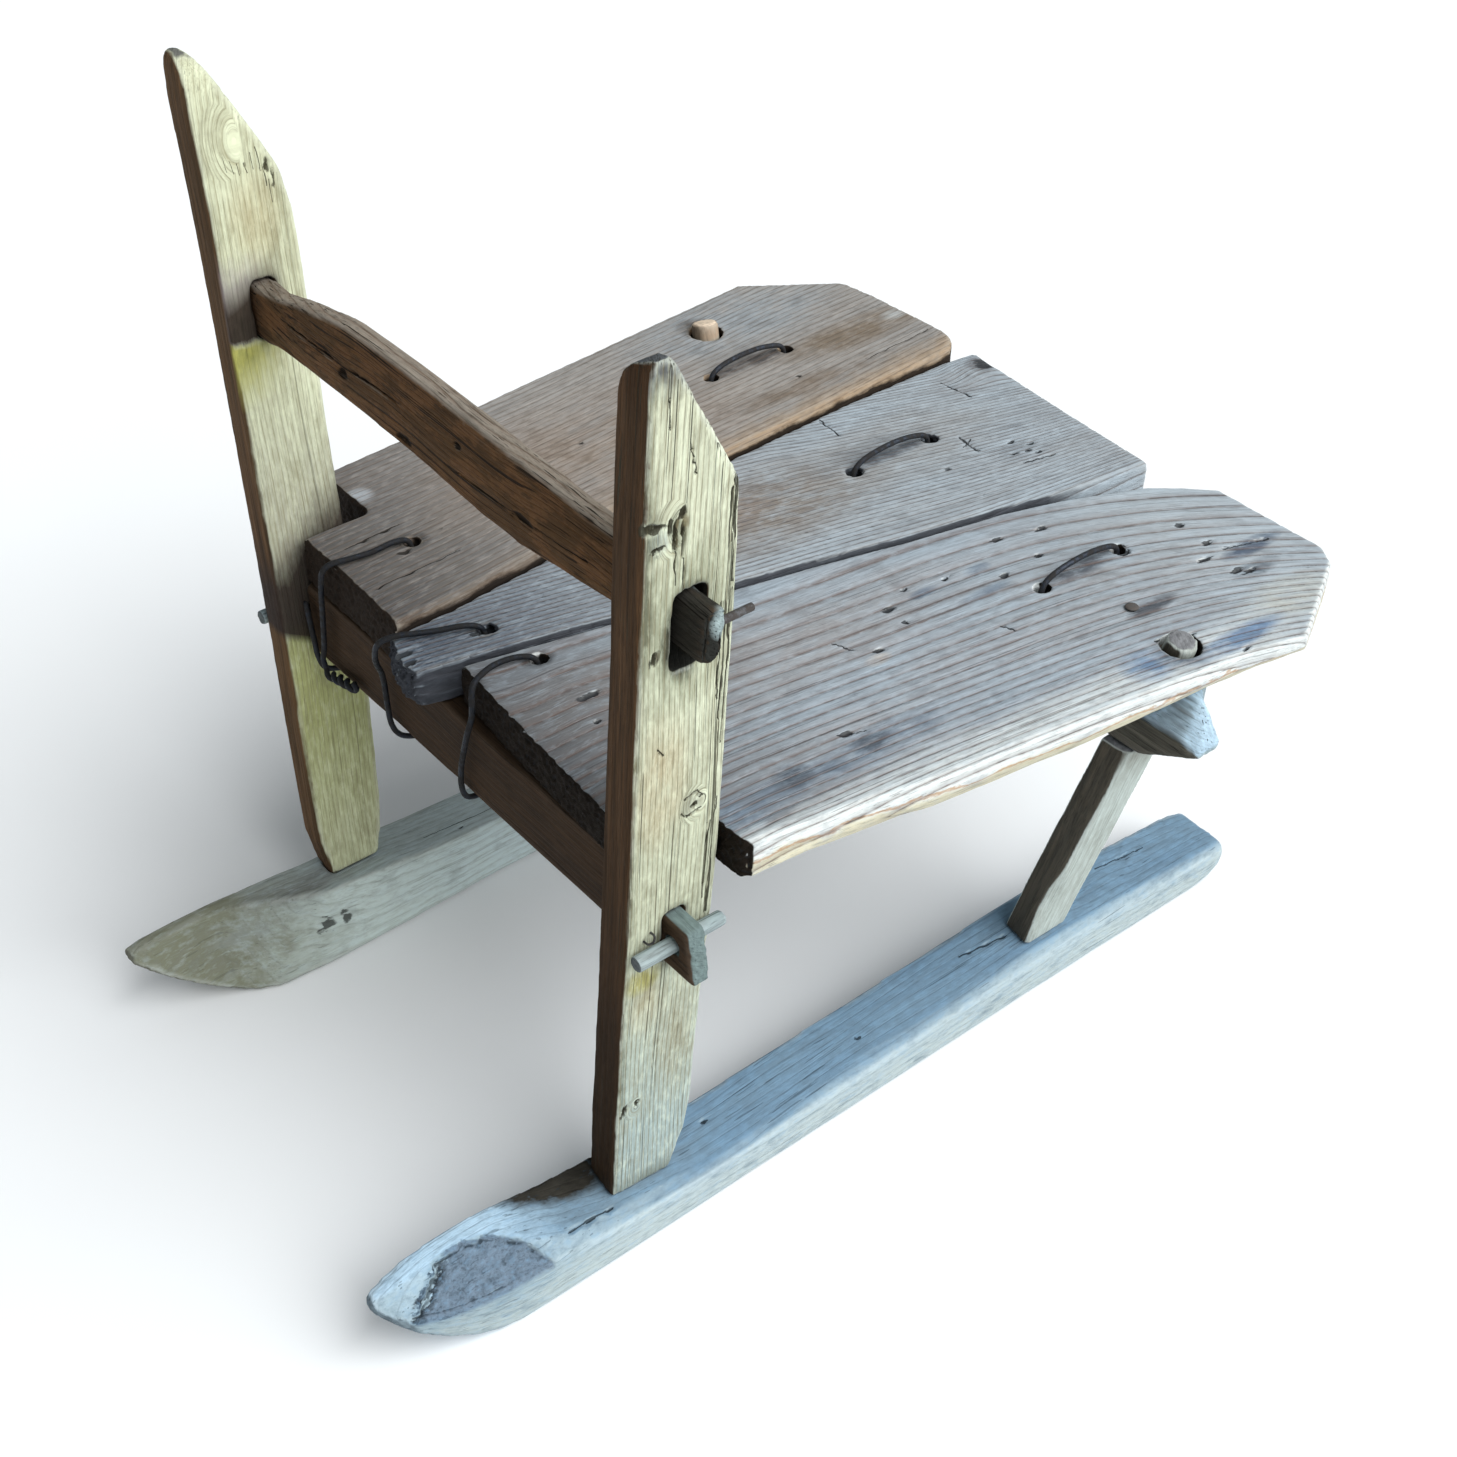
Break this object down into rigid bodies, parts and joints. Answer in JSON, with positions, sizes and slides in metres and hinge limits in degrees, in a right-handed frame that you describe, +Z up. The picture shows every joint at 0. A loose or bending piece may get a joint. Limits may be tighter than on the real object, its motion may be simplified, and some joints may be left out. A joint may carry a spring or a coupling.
{
  "type": "child's wooden sled",
  "caption": "Low wooden child's sled: upturned runners, tall front posts joined by a hand rail, and a board seat tied on with wire.",
  "frame": {"origin": "middle of the ground outline, at the height of the runners' soles", "axes": "+Z up, -Y to the front (the upturned noses), +X to the sled's side that is near in the picture"},
  "size_m": [0.4039, 0.5225, 0.4544],
  "materials": {
    "runner_right_wood": "weathered blue-grey bare wood",
    "runner_left_wood": "weathered green-grey bare wood",
    "post_right_wood": "weathered pale bare wood",
    "post_left_wood": "weathered pale bare wood",
    "rail_wood": "dark brown worn bare wood",
    "front_beam_wood": "dark brown bare wood",
    "rear_beam_wood": "weathered grey bare wood",
    "leg_right_wood": "hewn pale bare wood",
    "leg_left_wood": "hewn pale bare wood",
    "board_left_wood": "weathered brown-grey bare wood",
    "board_middle_wood": "weathered blue-grey bare wood",
    "board_right_wood": "weathered blue-grey bare wood with raised grain",
    "beam_peg_right_wood": "weathered pale bare wood",
    "beam_peg_left_wood": "weathered pale bare wood",
    "rail_pin_right_iron": "dark rusted iron",
    "rail_pin_left_iron": "dark rusted iron",
    "board_nail_iron": "dark rusted iron",
    "post_staple_iron": "dark rusted iron",
    "tie_front_left_iron": "dark drawn wire",
    "tie_front_middle_iron": "dark drawn wire",
    "tie_front_right_iron": "dark drawn wire",
    "tie_rear_left_iron": "dark drawn wire",
    "tie_rear_middle_iron": "dark drawn wire",
    "tie_rear_right_iron": "dark drawn wire"
  },
  "bodies": {
    "sled_frame": {"runner_right": "runner_right_wood", "runner_left": "runner_left_wood", "post_right": "post_right_wood", "post_left": "post_left_wood", "hand_rail": "rail_wood", "front_beam": "front_beam_wood", "rear_beam": "rear_beam_wood", "leg_right": "leg_right_wood", "leg_left": "leg_left_wood", "board_left": "board_left_wood", "board_middle": "board_middle_wood", "board_right": "board_right_wood", "board_nail": "board_nail_iron", "post_staple": "post_staple_iron", "tie_front_left": "tie_front_left_iron", "tie_front_middle": "tie_front_middle_iron", "tie_front_right": "tie_front_right_iron", "tie_rear_left": "tie_rear_left_iron", "tie_rear_middle": "tie_rear_middle_iron", "tie_rear_right": "tie_rear_right_iron"},
    "peg_right": {"beam_peg_right": "beam_peg_right_wood"},
    "peg_left": {"beam_peg_left": "beam_peg_left_wood"},
    "pin_right": {"rail_pin_right": "rail_pin_right_iron"},
    "pin_left": {"rail_pin_left": "rail_pin_left_iron"}
  },
  "joints": [
    {"name": "peg_right_slide", "type": "slide", "parent": "sled_frame", "child": "peg_right", "axis": [0, 1, 0], "range_m": [-0.02, 0.024]},
    {"name": "peg_left_slide", "type": "slide", "parent": "sled_frame", "child": "peg_left", "axis": [0, 1, 0], "range_m": [-0.02, 0.024]},
    {"name": "pin_right_slide", "type": "slide", "parent": "sled_frame", "child": "pin_right", "axis": [0, 1, 0], "range_m": [0, 0.007]},
    {"name": "pin_left_slide", "type": "slide", "parent": "sled_frame", "child": "pin_left", "axis": [0, 1, 0], "range_m": [0, 0.007]}
  ]
}
